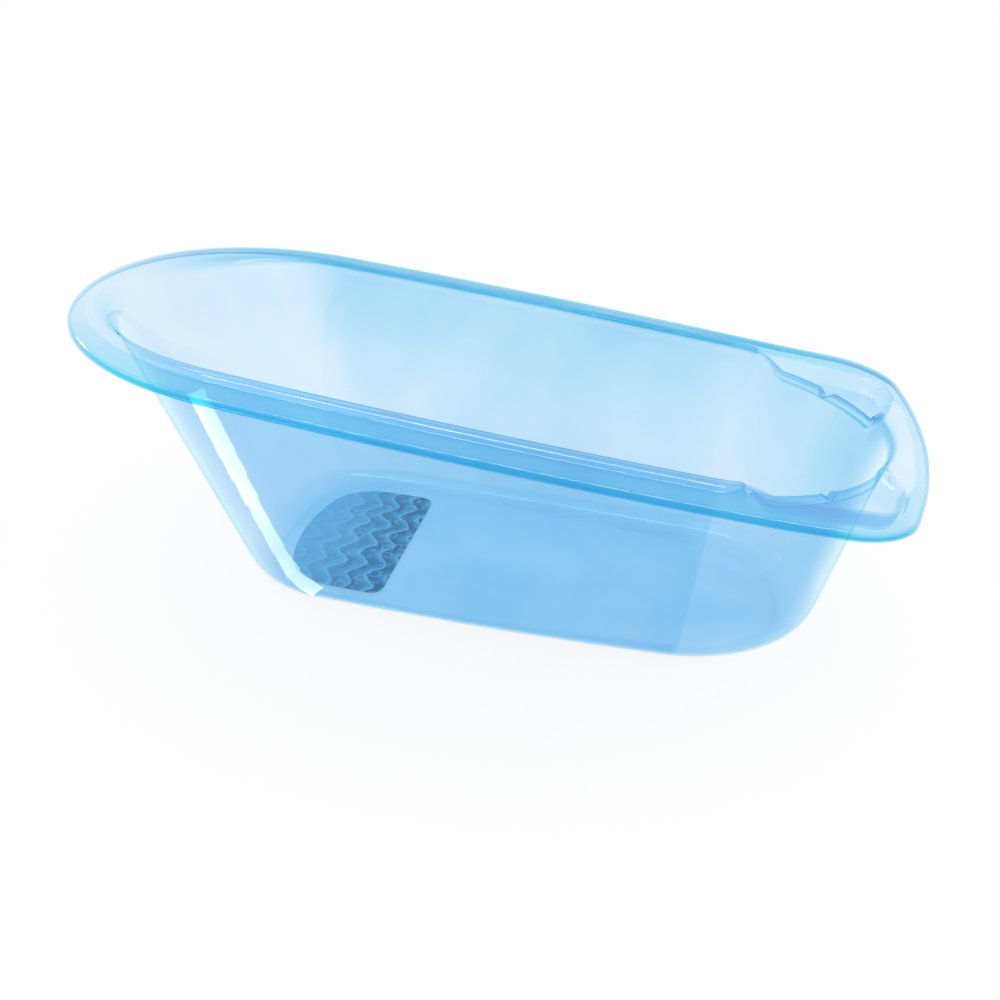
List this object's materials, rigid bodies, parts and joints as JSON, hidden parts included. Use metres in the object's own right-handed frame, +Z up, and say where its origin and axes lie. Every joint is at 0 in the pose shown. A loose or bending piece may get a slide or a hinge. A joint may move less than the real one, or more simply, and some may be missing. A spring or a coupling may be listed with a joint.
{
  "type": "baby bathtub",
  "caption": "Translucent moulded baby bath with a long sloping head end, a round foot end, a wide turned-down rim and soap dishes with drain notches in its foot corners.",
  "frame": {"origin": "centre of the bounding box, at the level of the flat underside that the tub rests on", "axes": "+X toward the foot end along the tub's length, +Y across it, +Z up"},
  "size_m": [0.85, 0.48, 0.25],
  "materials": {
    "blue_translucent": "gloss, translucent",
    "printed_film": "satin print"
  },
  "bodies": {
    "root": {"tub_shell": "blue_translucent", "floor_label": "printed_film"}
  },
  "joints": []
}
